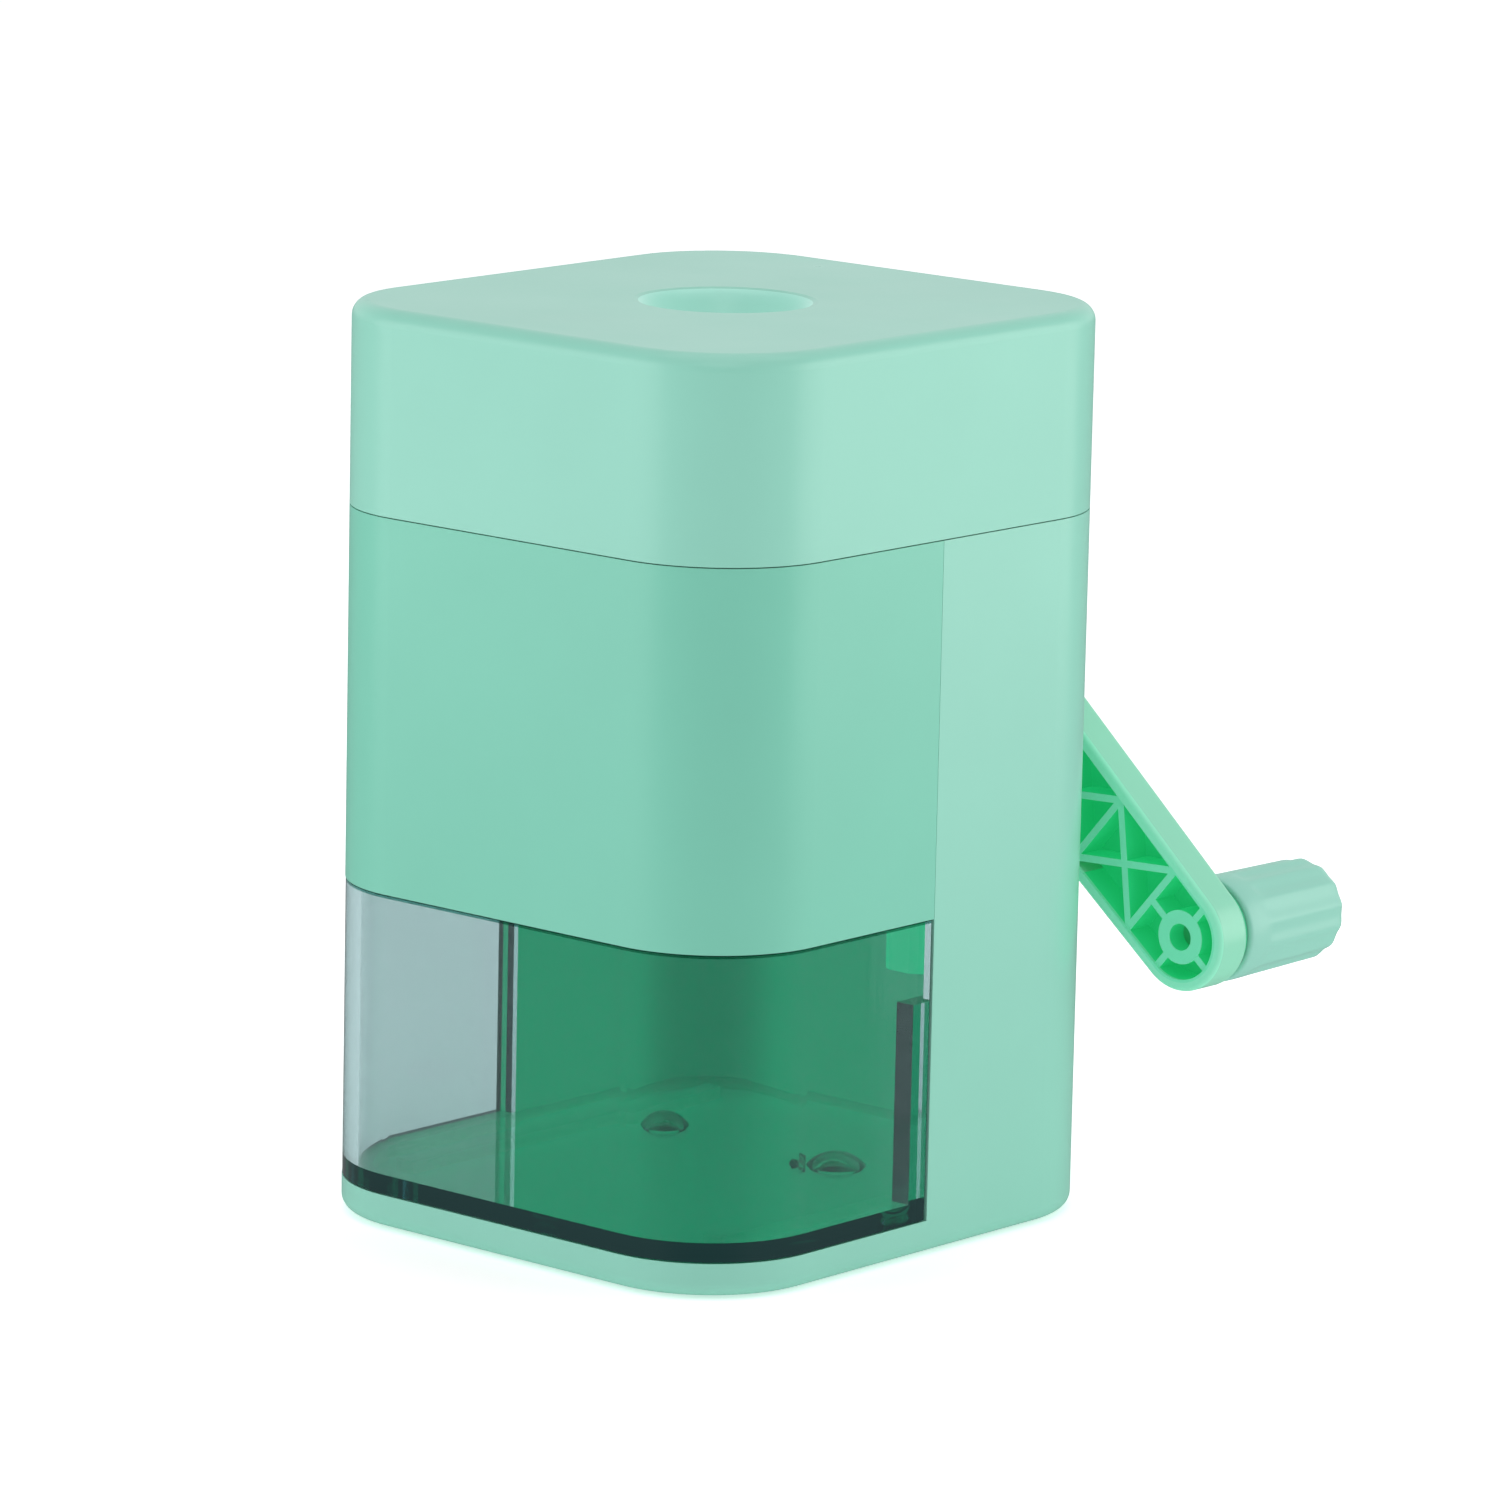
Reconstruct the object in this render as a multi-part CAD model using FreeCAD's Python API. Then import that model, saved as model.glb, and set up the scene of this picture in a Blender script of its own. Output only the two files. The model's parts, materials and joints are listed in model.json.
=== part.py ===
import FreeCAD, Part
import os
import math
from FreeCAD import Vector as V

# ---------------------------------------------------------------------------
# Hand-crank pencil sharpener. Millimetres, +Z up, +X right, -Y drawer front,
# +Y crank side. Origin: centre of the footprint, on the resting plane.
# ---------------------------------------------------------------------------

# outer body
W = 62.0            # width, X
D = 67.2            # depth, Y
H = 99.8            # height
RC = 13.9           # vertical corner radius
R_TOP = 1.8         # top edge fillet
R_BOT = 1.5         # bottom edge fillet
WALL = 2.0          # shell wall
SPLIT_Y = 0.3       # joint between front cover / drawer front and rear housing
Z_PAD = 0.3         # how far the rubber pad stands below the base
Z_LIP = 4.0         # top of the base lip, under the drawer
Z_DTOP = 37.0       # top of the drawer front
Z_SEAM = 77.8       # lid seam
GAP = 0.12          # visible seam gap

# lid funnel and pencil hole
FUN_R = 9.3
FUN_DEPTH = 6.0
PENCIL_R = 4.1
LID_HOLE_R = 4.3
LID_TOP = 2.4

# drawer
DR_FLOOR = 1.8
DR_WALL = 1.7
DR_CLR = 0.35
DR_STEP_Z = 27.8
DR_BACK = 30.9
PIP_X = 12.6
PIP_Y = 5.8
PIP_R = 3.25
PIP_H = 1.5

# crank
SHAFT_Z = 59.6
SHAFT_R = 3.0
ARM_LEN = 45.8
ARM_ANGLE = -40.5    # degrees from +X in the XZ plane, at rest
ARM_W = 12.0
HUB_R = 7.0
ARM_Y0 = 37.4
ARM_Y1 = 42.4
ARM_RIM = 1.3
ARM_WEB = 1.3
RIB = 0.8
KNOB_Y0 = 43.0
KNOB_Y1 = 61.0
KNOB_R = 5.85

# bevel pair, common apex on the carrier axis at the shaft height
NP_BEVEL = 20
NC_BEVEL = 40
BEVEL_RO = 18.5      # crown pitch radius, outer
BEVEL_RI = 14.0      # crown pitch radius, inner

# planetary pair
NP_CUT = 12
N_RING = 43
CUT_TILT = 10.5      # degrees, cutter axis from the carrier axis
CUT_R = 4.6
APEX_Z = 46.0        # pencil point
CUT_AZ = 200.0       # azimuth of the cutter at rest, degrees
RG_Z0 = 71.8
RG_Z1 = 75.6

# inner frame
CH_Z0 = 38.2
CH_Z1 = 40.6
TP_Z0 = 76.8
TP_Z1 = 79.0
POSTS = [(21, 12.5), (-21, 12.5), (21, -12.5), (-21, -12.5)]
BOSSES = [(24.0, 24.0), (-24.0, 24.0), (25.4, 3.4), (-25.4, 3.4)]

PARTS = {}


def box(x0, y0, z0, x1, y1, z1):
    return Part.makeBox(x1 - x0, y1 - y0, z1 - z0, V(x0, y0, z0))


def cyl(r, z0, z1, x=0.0, y=0.0):
    return Part.makeCylinder(r, z1 - z0, V(x, y, z0), V(0, 0, 1))


def cyl_y(r, y0, y1, x=0.0, z=0.0):
    return Part.makeCylinder(r, y1 - y0, V(x, y0, z), V(0, 1, 0))


def cone(r0, r1, z0, z1):
    return Part.makeCone(r0, r1, z1 - z0, V(0, 0, z0), V(0, 0, 1))


def rsq_wire(w, d, r, z):
    hx, hy = w / 2.0, d / 2.0
    k = math.sqrt(0.5)
    e = [Part.makeLine(V(-hx + r, -hy, z), V(hx - r, -hy, z)),
         Part.Arc(V(hx - r, -hy, z), V(hx - r + r * k, -hy + r - r * k, z), V(hx, -hy + r, z)).toShape(),
         Part.makeLine(V(hx, -hy + r, z), V(hx, hy - r, z)),
         Part.Arc(V(hx, hy - r, z), V(hx - r + r * k, hy - r + r * k, z), V(hx - r, hy, z)).toShape(),
         Part.makeLine(V(hx - r, hy, z), V(-hx + r, hy, z)),
         Part.Arc(V(-hx + r, hy, z), V(-hx + r - r * k, hy - r + r * k, z), V(-hx, hy - r, z)).toShape(),
         Part.makeLine(V(-hx, hy - r, z), V(-hx, -hy + r, z)),
         Part.Arc(V(-hx, -hy + r, z), V(-hx + r - r * k, -hy + r - r * k, z), V(-hx + r, -hy, z)).toShape()]
    return Part.Wire(e)


def rsq(off, z0, z1):
    """Body outline moved in by off, from z0 to z1."""
    f = Part.Face(rsq_wire(W - 2 * off, D - 2 * off, RC - off, z0))
    return f.extrude(V(0, 0, z1 - z0))


def fillet_at_z(s, z, r):
    ed = [e for e in s.Edges
          if abs(e.BoundBox.ZMin - z) < 1e-4 and abs(e.BoundBox.ZMax - z) < 1e-4]
    return s.makeFillet(r, ed)


def one(s):
    s = s.removeSplitter()
    if s.ShapeType == "Compound" and len(s.Solids) == 1:
        s = s.Solids[0]
    return s


def add(name, s):
    if s.ShapeType == "Compound" and len(s.Solids) == 1:
        s = s.Solids[0]
    PARTS[name] = s


# ---------------------------------------------------------------------------
# gears: flanks are planes through the common apex of the two pitch cones
# ---------------------------------------------------------------------------
def gear_poly(n, r, h, add_k, ded_k, thick, phase, axis_frame, origin):
    """Closed polygon of a gear's outline at distance h from the apex."""
    ox, ux, vx = axis_frame
    pts = []
    p = 2 * math.pi / n
    for k in range(n):
        a = phase + k * p
        w0 = p * thick * 0.5
        ra, rd = r + add_k, r - ded_k
        # root, tip, tip, root
        for (rr, da) in ((rd, -w0 * 1.42), (ra, -w0 * 0.52), (ra, w0 * 0.52), (rd, w0 * 1.42)):
            c, s = math.cos(a + da), math.sin(a + da)
            pts.append(origin + ox * h + ux * (rr * c) + vx * (rr * s))
    pts.append(pts[0])
    return Part.makePolygon(pts)


def bevel_blank(n, tan_d, h0, h1, add_k, ded_k, thick, phase, axis_frame, origin):
    """Toothed frustum between distances h0 and h1 from the apex along the axis.
    add_k and ded_k are given at h1 and scale with h."""
    w = []
    for h in (h0, h1):
        k = h / h1
        w.append(gear_poly(n, h * tan_d, h, add_k * k, ded_k * k, thick, phase, axis_frame, origin))
    return Part.makeLoft(w, True, True)


# ---------------------------------------------------------------------------
# housing
# ---------------------------------------------------------------------------
outer = rsq(0, Z_PAD, Z_SEAM - GAP)
outer = fillet_at_z(outer, Z_PAD, R_BOT)
inner = rsq(WALL, Z_LIP - 1.4, Z_SEAM + 1)
shell = outer.cut(inner)
front_clear = box(-W, -D, Z_LIP, W, SPLIT_Y, H)
# the base floor stays whole, the walls stand behind the split
shell = shell.cut(front_clear)
# lip: thicken the front part of the base up to the lip level
lip = outer.common(box(-W, -D, Z_PAD, W, SPLIT_Y, Z_LIP))
lip = lip.cut(rsq(3.4, Z_LIP - 1.4, Z_LIP + 1))
shell = shell.fuse(lip)
# recess for the pad
pad_out = rsq(5.5, 0, 1.5)
shell = shell.cut(rsq(5.4, -1, 1.5))
# drawer runners on the floor
for sx in (-1, 1):
    shell = shell.fuse(box(sx * 22 - 1.2, -24, Z_LIP - 1.5, sx * 22 + 1.2, 26, Z_LIP - 0.05))
# bosses for the inner frame
for (bx, by) in BOSSES:
    b = cyl(3.4, 30.5, CH_Z0, bx, by)
    if by > 10:
        b = b.fuse(box(min(bx, bx * 1.25), by - 1, 30.5, max(bx, bx * 1.25), by + 1, CH_Z0))
        b = b.fuse(box(bx - 1, by, 30.5, bx + 1, by + 9, CH_Z0))
    else:
        b = b.fuse(box(min(bx, bx * 1.2), by - 1.2, 30.5, max(bx, bx * 1.2), by + 1.2, CH_Z0))
    b = b.common(rsq(0.8, 0, H))
    b = b.cut(box(-W, -D, 0, W, SPLIT_Y, H))
    shell = shell.fuse(b)
for (bx, by) in BOSSES:
    shell = shell.cut(cyl(1.25, 31.5, CH_Z0 + 1, bx, by))
# guide tongues that locate the front cover
for sx in (-1, 1):
    t = box(min(sx * 27.5, sx * 28.9), SPLIT_Y - 3.5, 44, max(sx * 27.5, sx * 28.9), SPLIT_Y + 4, 75)
    t = t.fuse(box(min(sx * 27.5, sx * 29.5), SPLIT_Y + 1, 44, max(sx * 27.5, sx * 29.5), SPLIT_Y + 4, 75))
    shell = shell.fuse(t)
# hole for the crank hub in the rear wall, with an inner collar
shell = shell.fuse(cyl_y(7.4, D / 2 - WALL - 2.2, D / 2 - WALL + 0.3, 0, SHAFT_Z))
shell = shell.cut(cyl_y(5.4, D / 2 - 8, D / 2 + 2, 0, SHAFT_Z))
add("rear_housing", one(shell))

add("base_pad", fillet_at_z(pad_out, 0, 0.2))

# front cover: U shell above the drawer front
fc = rsq(0, Z_DTOP, Z_SEAM - GAP).cut(rsq(WALL, Z_DTOP - 1, H))
fc = fc.cut(box(-W, SPLIT_Y - 0.06, 0, W, D, H))
# inner ribs behind the front wall
for sx in (-12, 12):
    fc = fc.fuse(box(sx - 0.7, -D / 2 + WALL - 0.4, 42, sx + 0.7, -D / 2 + WALL + 2.2, 75))
# shelf rib above the drawer
fc = fc.fuse(rsq(WALL - 0.3, Z_DTOP + 0.3, Z_DTOP + 1.1).cut(rsq(WALL + 1.6, 0, H)).common(box(-W, -D, 0, W, -6.0, H)))
add("front_cover", one(fc))

# lid
lid = rsq(0, Z_SEAM, H)
lid = fillet_at_z(lid, H, R_TOP)
lid = lid.cut(rsq(WALL, Z_SEAM - 1, H - LID_TOP))
# skirt that sits inside the two shells
skirt = rsq(WALL + 0.15, Z_SEAM - 2.2, Z_SEAM + 4).cut(rsq(WALL + 1.5, Z_SEAM - 3, Z_SEAM + 6))
skirt = skirt.cut(box(-29.4, SPLIT_Y - 4.2, Z_SEAM - 3, 29.4, SPLIT_Y + 4.6, Z_SEAM))
skirt = skirt.cut(box(-14, -D, Z_SEAM - 3, 14, -D / 2 + 6, Z_SEAM))
skirt = skirt.fuse(rsq(WALL - 0.5, Z_SEAM + 0.6, Z_SEAM + 3.4).cut(rsq(WALL + 1.5, Z_SEAM - 3, Z_SEAM + 6)))
lid = lid.fuse(skirt)
# boss under the funnel
lid = lid.fuse(cyl(FUN_R + 1.6, H - FUN_DEPTH - 2.6, H - LID_TOP + 0.5))
for a in range(0, 360, 90):
    r = box(9.8, -0.6, H - 8.4, 24, 0.6, H - LID_TOP + 0.2)
    r.rotate(V(0, 0, 0), V(0, 0, 1), a + 45)
    lid = lid.fuse(r)
lid = lid.cut(cyl(LID_HOLE_R, 60, H + 1))
# funnel: rounded mouth running down to the hole
prof = [V(0, 0, H + 0.5), V(FUN_R + 0.75, 0, H + 0.5), V(FUN_R + 0.55, 0, H + 0.001)]
pr = Part.BSplineCurve()
pr.interpolate([V(FUN_R + 0.55, 0, H + 0.001), V(FUN_R - 0.25, 0, H - 0.35), V(FUN_R - 1.1, 0, H - 1.5),
                V(FUN_R - 2.6, 0, H - 3.6), V(LID_HOLE_R + 0.4, 0, H - FUN_DEPTH), V(LID_HOLE_R - 0.02, 0, H - FUN_DEPTH - 1.0)])
edges = [Part.makeLine(V(0, 0, H + 0.5), V(FUN_R + 0.55, 0, H + 0.5)),
         Part.makeLine(V(FUN_R + 0.55, 0, H + 0.5), V(FUN_R + 0.55, 0, H + 0.001)),
         pr.toShape(),
         Part.makeLine(V(LID_HOLE_R - 0.02, 0, H - FUN_DEPTH - 1.0), V(0, 0, H - FUN_DEPTH - 1.0)),
         Part.makeLine(V(0, 0, H - FUN_DEPTH - 1.0), V(0, 0, H + 0.5))]
fun = Part.Face(Part.Wire(edges)).revolve(V(0, 0, 0), V(0, 0, 1), 360)
lid = lid.cut(fun)
add("lid", one(lid))

# guide tube pressed under the funnel boss: it leads the pencil into the carrier
GT_Z1 = H - FUN_DEPTH - 2.6
guide = cyl(6.2, Z_SEAM + 2.6, GT_Z1).fuse(cyl(8.6, GT_Z1 - 1.4, GT_Z1)).cut(cyl(PENCIL_R, 60, H))
add("pencil_guide", one(guide))

# ---------------------------------------------------------------------------
# drawer
# ---------------------------------------------------------------------------
z0 = Z_LIP + 0.15
zf = z0 + DR_FLOOR
y_back = SPLIT_Y - 0.45
in_x = W / 2 - WALL - DR_CLR
# floor: full outline in front, inner box behind
fl = rsq(0.05, z0, zf).common(box(-W, -D, 0, W, y_back, H))
rear_box = rsq(WALL + DR_CLR, z0, DR_STEP_Z).common(box(-W, -4.0, 0, W, DR_BACK, H))
rear_in = rsq(WALL + DR_CLR + DR_WALL, zf, DR_STEP_Z + 1).common(box(-W, -D, 0, W, DR_BACK - DR_WALL, H))
vis = rsq(0.05, z0, Z_DTOP - GAP).cut(rsq(0.05 + DR_WALL, zf, H))
vis = vis.common(box(-W, -D, 0, W, y_back, H))
dr = fl.fuse(rear_box.cut(rear_in)).fuse(vis)
# web that joins the inner box walls to the front's side walls
for sx in (-1, 1):
    xa, xb = sorted((sx * (in_x - DR_WALL), sx * (W / 2 - 0.8)))
    dr = dr.fuse(box(xa, y_back - 1.6, z0 + 0.2, xb, y_back, DR_STEP_Z))
    # the inner walls do not continue forward of the web
    xa, xb = sorted((sx * (in_x - DR_WALL - 0.5), sx * (W / 2 - 0.05 - DR_WALL)))
    dr = dr.cut(box(xa, -9, zf, xb, y_back - 1.6, DR_STEP_Z + 2))
# pips
for sx in (-1, 1):
    s = (PIP_R ** 2 + PIP_H ** 2) / (2 * PIP_H)
    cap = Part.makeSphere(s, V(sx * PIP_X, PIP_Y, zf + PIP_H - s)).common(
        box(sx * PIP_X - 5, PIP_Y - 5, zf - 0.2, sx * PIP_X + 5, PIP_Y + 5, zf + 4))
    dr = dr.fuse(cap)
    # hollow underneath, so the wall keeps an even thickness
    dr = dr.cut(Part.makeSphere(s - 1.2, V(sx * PIP_X, PIP_Y, zf + PIP_H - s)))
add("drawer", one(dr))

# ---------------------------------------------------------------------------
# inner frame
# ---------------------------------------------------------------------------
ch = rsq(WALL + 0.4, CH_Z0 + 0.02, CH_Z1)
ch = ch.cut(box(-W, -D, 0, W, -D / 2 + WALL + 4.5, H))
ch = ch.cut(cyl(16.5, 30, 60))
# spider for the lower bearing
ch = ch.fuse(box(-17.5, -1.6, CH_Z0 + 0.02, 17.5, 1.6, CH_Z1))
ch = ch.fuse(cyl(4.6, CH_Z0 + 0.02, CH_Z1 + 0.6))
ch = ch.cut(cyl(3.6, 30, 50))
for (px, py) in POSTS:
    ch = ch.fuse(cyl(3.0, CH_Z1 - 0.5, TP_Z0 - 0.02, px, py))
# pedestal with the shaft bearing
ped = box(-8, 21.5, CH_Z1 - 0.5, 8, 25.0, SHAFT_Z).fuse(cyl_y(8, 21.5, 25.0, 0, SHAFT_Z))
for sx in (-1, 1):
    xa, xb = sorted((sx * 6.2, sx * 8.0))
    g = box(xa, 25.0, CH_Z1 - 0.5, xb, 29.0, 52)
    ped = ped.fuse(g)
ch = ch.fuse(ped).cut(cyl_y(4.7, 18, 28, 0, SHAFT_Z))
for (px, py) in POSTS:
    ch = ch.cut(cyl(1.0, TP_Z0 - 9, TP_Z0 + 1, px, py))
for (bx, by) in BOSSES:
    ch = ch.cut(cyl(1.6, CH_Z0 - 1, CH_Z1 + 1, bx, by))
# clearance round the cover's locating tongues
add("chassis", one(ch))


def screws(pts, z_head, r_head, h_head, r_shank, length, r_slot=0.35):
    """Pan-head screws that point down, head on z_head."""
    out = []
    for (x, y) in pts:
        s = cyl(r_shank, z_head - length, z_head + 0.2, x, y)
        hd = cyl(r_head, z_head, z_head + h_head, x, y)
        hd = fillet_at_z(hd, z_head + h_head, h_head * 0.45)
        s = s.fuse(hd)
        s = s.cut(box(x - r_head * 0.6, y - r_slot, z_head + h_head * 0.45, x + r_head * 0.6, y + r_slot, z_head + 3))
        s = s.cut(box(x - r_slot, y - r_head * 0.6, z_head + h_head * 0.45, x + r_slot, y + r_head * 0.6, z_head + 3))
        out.append(one(s))
    return Part.makeCompound(out)


add("chassis_screws", screws(BOSSES, CH_Z1, 2.6, 1.6, 1.2, 8.0))

tp = rsq(0, 0, 1)
tp = Part.makeCylinder(19.6, TP_Z1 - TP_Z0, V(0, 0, TP_Z0))
for (px, py) in POSTS:
    L = math.hypot(px, py)
    arm = box(0, -3.6, TP_Z0, L, 3.6, TP_Z1)
    arm.rotate(V(0, 0, 0), V(0, 0, 1), math.degrees(math.atan2(py, px)))
    tp = tp.fuse(arm).fuse(cyl(3.6, TP_Z0, TP_Z1, px, py))
tp = tp.cut(cyl(7.0, TP_Z0 - 1, TP_Z1 + 1))
for (px, py) in POSTS:
    tp = tp.cut(cyl(1.15, TP_Z0 - 1, TP_Z1 + 1, px, py))
RGS = [(16.9 * math.cos(math.radians(a)), 16.9 * math.sin(math.radians(a))) for a in (0, 120, 240)]
for (px, py) in RGS:
    tp = tp.cut(cyl(0.95, TP_Z0 - 1, TP_Z1 + 1, px, py))
add("top_plate", one(tp))
add("plate_screws", screws(POSTS, TP_Z1, 2.2, 1.4, 0.95, 8.0, 0.3))

ub = cyl(6.95, TP_Z0 - 0.1, TP_Z1).fuse(cyl(8.4, TP_Z1, TP_Z1 + 0.8))
add("upper_bush", one(ub.cut(cyl(5.26, 70, 90))))
lb = cyl(3.55, CH_Z0 - 0.3, CH_Z1 + 0.6).fuse(cyl(4.4, CH_Z1 + 0.6, CH_Z1 + 1.4))
add("lower_bush", one(lb.cut(cyl(2.56, 30, 50))))

# ---------------------------------------------------------------------------
# planetary pair: pinion on the cutter axle inside the fixed ring gear
# ---------------------------------------------------------------------------
tilt = math.radians(CUT_TILT)
az = math.radians(CUT_AZ)
er = V(math.cos(az), math.sin(az), 0)          # outwards, towards the cutter
et = V(-math.sin(az), math.cos(az), 0)
ax_apex = CUT_R / math.cos(tilt)               # axis radius at the pencil point
Z_PA = APEX_Z - ax_apex / math.tan(tilt)       # where the cutter axis meets the carrier axis
apex2 = V(0, 0, Z_PA)
ca = er * math.sin(tilt) + V(0, 0, math.cos(tilt))   # cutter axis, upwards
cu = er * math.cos(tilt) - V(0, 0, math.sin(tilt))   # outwards normal to the axis
cv = ca.cross(cu)


def on_axis(z):
    """Point of the cutter axis at height z."""
    return apex2 + ca * ((z - Z_PA) / math.cos(tilt))


kr = N_RING / float(NP_CUT)
dp = math.atan(math.sin(tilt) / (kr - math.cos(tilt)))
dring = dp + tilt
h_top = RG_Z1 - Z_PA
rr_top = h_top * math.tan(dring)
rp_mod = 2 * rr_top / N_RING
# ring: blank minus the toothed frustum, whose teeth are the spaces
sp = bevel_blank(N_RING, math.tan(dring), (RG_Z0 - 0.6 - Z_PA), h_top + 0.6,
                 0.98 * rp_mod, 0.72 * rp_mod, 0.62, az + math.pi / N_RING,
                 (V(0, 0, 1), V(1, 0, 0), V(0, 1, 0)), apex2)
ring = cyl(18.6, RG_Z0, TP_Z0 - 0.02)
ring = ring.cut(cyl(rr_top + 1.0 * rp_mod, RG_Z1 - 0.01, 80)).cut(sp)
for (px, py) in RGS:
    ring = ring.cut(cyl(0.75, RG_Z0 + 0.8, 80, px, py))
add("ring_gear", one(ring))
add("ring_gear_screws", screws(RGS, TP_Z1, 1.5, 1.0, 0.7, 5.2, 0.22))

# pinion: tooth gap faces outwards at rest
hp0 = (RG_Z0 + 0.25 - Z_PA) / math.cos(tilt)
hp1 = (RG_Z1 - 0.45 - Z_PA) / math.cos(tilt)
rp1 = hp1 * math.tan(dp)
mp = 2 * rp1 / NP_CUT
pin = bevel_blank(NP_CUT, math.tan(dp), hp0, hp1, 0.62 * mp, 0.95 * mp, 0.40, math.pi / NP_CUT, (ca, cu, cv), apex2)
pin = pin.cut(Part.makeCylinder(1.5, 90, apex2, ca))
add("cutter_pinion", one(pin))

# axle
AX_R = 1.47
a0 = on_axis(43.6)
a1 = on_axis(75.95)
axle = Part.makeCylinder(AX_R, (a1 - a0).Length, a0, ca)
# groove for the clip at the lower end side, under the pinion
gz = 71.45
add("cutter_axle", one(axle))
clip = Part.makeCylinder(2.7, 0.35, on_axis(75.35), ca).cut(Part.makeCylinder(1.5, 8, on_axis(74.5), ca))
clip = clip.cut(box(-0.8, -4, -1, 0.8, 0, 1).copy().transformGeometry(
    FreeCAD.Matrix(cu.x, cv.x, ca.x, on_axis(75.35).x,
                   cu.y, cv.y, ca.y, on_axis(75.35).y,
                   cu.z, cv.z, ca.z, on_axis(75.35).z, 0, 0, 0, 1)))
add("axle_clip", one(clip))

# cutter: ten helical edges
CZ0, CZ1 = 46.8, 64.6
NE = 10
sec = []
NS = 10
c0, c1 = on_axis(CZ0), on_axis(CZ1)
Lc = (c1 - c0).Length
for i in range(NS + 1):
    t = i / float(NS)
    o = c0 + (c1 - c0) * t
    ph = math.radians(70) * t
    pts = []
    for k in range(NE):
        for (rr, da) in ((CUT_R - 1.0, 0.0), (CUT_R, 0.30), (CUT_R, 0.38), (CUT_R - 1.0, 0.52)):
            a = ph + (k + da) * 2 * math.pi / NE
            pts.append(o + cu * (rr * math.cos(a)) + cv * (rr * math.sin(a)))
    pts.append(pts[0])
    sec.append(Part.makePolygon(pts))
cut = Part.makeLoft(sec, True, True)
cut = cut.cut(Part.makeCylinder(1.5, 90, apex2, ca))
add("cutter", one(cut))

# ---------------------------------------------------------------------------
# carrier
# ---------------------------------------------------------------------------
CR = 13.0
DK0, DK1 = 66.2, 69.4
car = cyl(12.9, DK0, DK1).fuse(cyl(10.6, DK1 - 0.1, 71.3))
car = car.fuse(cyl(5.2, 71.0, TP_Z1 + 0.6))
car = car.fuse(cyl(11.2, 42.6, 45.4))
car = car.fuse(cyl(2.5, CH_Z0 - 0.1, 42.8))


def sector(r0, r1, a0, a1, z0, z1):
    pts = [V(r0 * math.cos(a0), r0 * math.sin(a0), z0)]
    am = 0.5 * (a0 + a1)
    e1 = Part.Arc(V(r1 * math.cos(a0), r1 * math.sin(a0), z0), V(r1 * math.cos(am), r1 * math.sin(am), z0),
                  V(r1 * math.cos(a1), r1 * math.sin(a1), z0)).toShape()
    e2 = Part.Arc(V(r0 * math.cos(a1), r0 * math.sin(a1), z0), V(r0 * math.cos(am), r0 * math.sin(am), z0),
                  V(r0 * math.cos(a0), r0 * math.sin(a0), z0)).toShape()
    w = Part.Wire([Part.makeLine(pts[0], V(r1 * math.cos(a0), r1 * math.sin(a0), z0)), e1,
                   Part.makeLine(V(r1 * math.cos(a1), r1 * math.sin(a1), z0), V(r0 * math.cos(a1), r0 * math.sin(a1), z0)), e2])
    return Part.Face(w).extrude(V(0, 0, z1 - z0))


for s in (-1, 1):
    a0s, a1s = sorted((az + s * math.radians(62), az + s * math.radians(100)))
    car = car.fuse(sector(8.3, 11.1, a0s, a1s, 45.2, DK0 + 0.2))
# pencil guide opposite the cutter, with a conical bore
car = car.fuse(sector(0.9, 11.1, az + math.radians(125), az + math.radians(235), 45.2, DK0 + 0.2))
car = car.cut(Part.makeCone(0.15, 4.15, 20.4, V(0, 0, APEX_Z - 0.2), V(0, 0, 1)))
car = car.cut(cyl(0.9, 45.8, 50))
car = car.cut(cyl(PENCIL_R, DK0, 90))
# chip windows in the bottom plate
for a in (40, -40, 180):
    w = sector(5.4 if a != 180 else 5.0, 9.6, az + math.radians(a - 14), az + math.radians(a + 14), 42, 46) if a != 180 else None
    if w is not None:
        car = car.cut(w)
# axle bore and cutter pocket
car = car.cut(Part.makeCylinder(1.5, (on_axis(78) - on_axis(43.3)).Length, on_axis(43.3), ca))
car = car.cut(Part.makeCylinder(CUT_R + 0.45, (on_axis(65.0) - on_axis(46.3)).Length, on_axis(46.3), ca))
CRS = [(11.85 * math.cos(az + math.radians(a)), 11.85 * math.sin(az + math.radians(a))) for a in (60, 180, 300)]
for (px, py) in CRS:
    car = car.cut(cyl(0.75, DK1 - 2.8, DK1 + 1, px, py))
add("carrier_frame", one(car))

# crown bevel gear, teeth down; tooth centred on +Y at rest
tan_c = NC_BEVEL / float(NP_BEVEL)
hc0, hc1 = BEVEL_RI / tan_c, BEVEL_RO / tan_c
m_out = 2 * BEVEL_RO / NC_BEVEL
ap = V(0, 0, SHAFT_Z)
cosd = math.cos(math.atan(tan_c))
hc2 = hc1 + 0.75
kc = hc2 / hc1
cr = bevel_blank(NC_BEVEL, tan_c, hc0, hc2, 0.62 * kc * m_out / cosd, 0.95 * kc * m_out / cosd, 0.40,
                 math.pi / 2, (V(0, 0, 1), V(1, 0, 0), V(0, 1, 0)), ap)
# trim the tips so that every tooth ends on a clean cylinder
cr = cr.common(cyl(19.3, 60, 80))
cr = cr.fuse(cyl(19.3, SHAFT_Z + hc2 - 0.02, 70.9))
cr = cr.cut(cyl(12.98, 60, DK1 + 0.02)).cut(cyl(10.68, 60, 80))
for (px, py) in CRS:
    cr = cr.cut(cyl(0.85, 60, 80, px, py))
    cr = cr.cut(cyl(1.25, 70.2, 80, px, py))
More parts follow.
